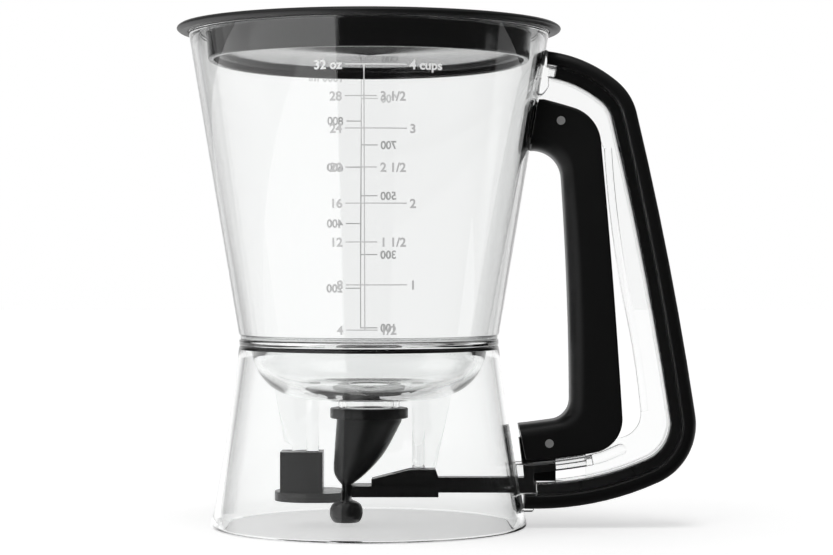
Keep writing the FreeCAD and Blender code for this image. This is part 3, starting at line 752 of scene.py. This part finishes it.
def adder(tree):
    """Gives a short way to put math nodes into a node tree."""
    def add(operation, a, b=None, clamp=False):
        node = tree.nodes.new("ShaderNodeMath")
        node.operation = operation
        node.use_clamp = clamp
        for index, value in enumerate((a, b)):
            if isinstance(value, (int, float)):
                node.inputs[index].default_value = value
            elif value is not None:
                tree.links.new(value, node.inputs[index])
        return node.outputs[0]
    return add


def left_side(add, x, y):
    """One where a direction or place lies in the softbox's span at the front left."""
    around = add("ARCTAN2", x, add("MULTIPLY", y, -1.0))
    near = add("LESS_THAN", around, math.radians(-softbox_edge))
    return add("MULTIPLY", near, add("GREATER_THAN", around, math.radians(-softbox_far)))


def to_camera(tree, add, level, through=0.0):
    """One to the camera, also through clear pieces where through is one, and the level to other rays."""
    path = tree.nodes.new("ShaderNodeLightPath")
    seen = path.outputs["Is Camera Ray"]
    seen = add("MAXIMUM", seen, add("MULTIPLY", path.outputs["Is Transmission Ray"], through))
    return add("ADD", seen, add("MULTIPLY", level, add("SUBTRACT", 1.0, seen)))


def world_light():
    """White behind, a tall softbox at the front left, dim elsewhere, and plain white to the camera."""
    world = bpy.data.worlds.new("studio")
    bpy.context.scene.world = world
    world.use_nodes = True
    tree = world.node_tree
    add = adder(tree)
    where = tree.nodes.new("ShaderNodeTexCoord")
    split = tree.nodes.new("ShaderNodeSeparateXYZ")
    tree.links.new(where.outputs["Generated"], split.inputs[0])
    x, y, z = split.outputs
    behind = add("DIVIDE", add("SUBTRACT", y, back_from), back_width, True)
    above = add("DIVIDE", add("SUBTRACT", z, top_from), top_width, True)
    level = add("ADD", dim_level, add("MULTIPLY", left_side(add, x, y), softbox_level - dim_level))
    level = add("ADD", level, add("MULTIPLY", above, top_level))
    level = add("MAXIMUM", level, behind)
    tree.links.new(to_camera(tree, add, level), tree.nodes["Background"].inputs["Strength"])
    tree.nodes["Background"].inputs["Color"].default_value = (1.0, 1.0, 1.0, 1.0)


def white_paper():
    """A floor that is white to the camera, and bright behind and to the left for reflections."""
    paper = bpy.data.materials.new("white_paper")
    paper.use_nodes = True
    tree = paper.node_tree
    add = adder(tree)
    where = tree.nodes.new("ShaderNodeTexCoord")
    split = tree.nodes.new("ShaderNodeSeparateXYZ")
    tree.links.new(where.outputs["Object"], split.inputs[0])
    x, y, _ = split.outputs
    behind = add("DIVIDE", add("SUBTRACT", y, paper_bright_y), paper_bright_width, True)
    level = add("MULTIPLY", left_side(add, x, y), floor_left_level)
    level = add("MAXIMUM", add("MAXIMUM", level, behind), floor_dim_level)
    shown = to_camera(tree, add, level, add("GREATER_THAN", y, paper_front_y))
    sheet = tree.nodes["Principled BSDF"]
    grey = tree.nodes.new("ShaderNodeCombineColor")
    for socket in grey.inputs:
        if socket.name in ("Red", "Green", "Blue"):
            tree.links.new(add("MULTIPLY", shown, paper_grey), socket)
    tree.links.new(grey.outputs[0], sheet.inputs["Base Color"])
    sheet.inputs["Roughness"].default_value = 1.0
    sheet.inputs["Specular IOR Level"].default_value = 0.0
    sheet.inputs["Emission Color"].default_value = (1.0, 1.0, 1.0, 1.0)
    tree.links.new(add("MULTIPLY", shown, floor_glow), sheet.inputs["Emission Strength"])
    return paper


def paper_floor():
    """A wide sheet just under the foot."""
    mesh = bpy.data.meshes.new("floor")
    bm = bmesh.new()
    bmesh.ops.create_grid(bm, x_segments=1, y_segments=1, size=4.0)
    bm.to_mesh(mesh)
    bm.free()
    floor = bpy.data.objects.new("floor", mesh)
    bpy.context.scene.collection.objects.link(floor)
    floor.location = (0, 0, -0.0002)
    mesh.materials.append(white_paper())


def overhead_light():
    """A wide soft light from above, a little from the front, for the shadow on the floor."""
    light = bpy.data.lights.new("overhead_softbox", "SUN")
    light.energy = sun_strength
    light.angle = math.radians(sun_spread)
    lamp = bpy.data.objects.new("overhead_softbox", light)
    bpy.context.scene.collection.objects.link(lamp)
    lamp.rotation_euler = (math.radians(sun_lean), 0, 0)


def photo_camera():
    """The photo's view, from a little above the waist and with the handle to the right."""
    view = bpy.data.cameras.new("camera")
    view.lens = camera_lens
    view.sensor_width = 36.0
    view.clip_start, view.clip_end = 0.05, 50
    camera = bpy.data.objects.new("camera", view)
    bpy.context.scene.collection.objects.link(camera)
    camera.location = camera_place
    camera.rotation_euler = (math.radians(90 - camera_dip), 0, 0)
    bpy.context.scene.camera = camera


reservoir()
skirt()
bowl()
waist_joint()
boot_ring()
lid()
nozzle_boot()
loop_places = loop_chain()
grip_cover()
handle_frame()
grip_insert()
valve_posts()
pins()
trigger_cover()
front_measure()
back_measure()
world_light()
paper_floor()
overhead_light()
photo_camera()

scene = bpy.context.scene
scene.view_settings.view_transform = "Standard"
scene.cycles.max_bounces = 24
scene.cycles.transmission_bounces = 20
scene.cycles.glossy_bounces = 8
scene.cycles.transparent_max_bounces = 24
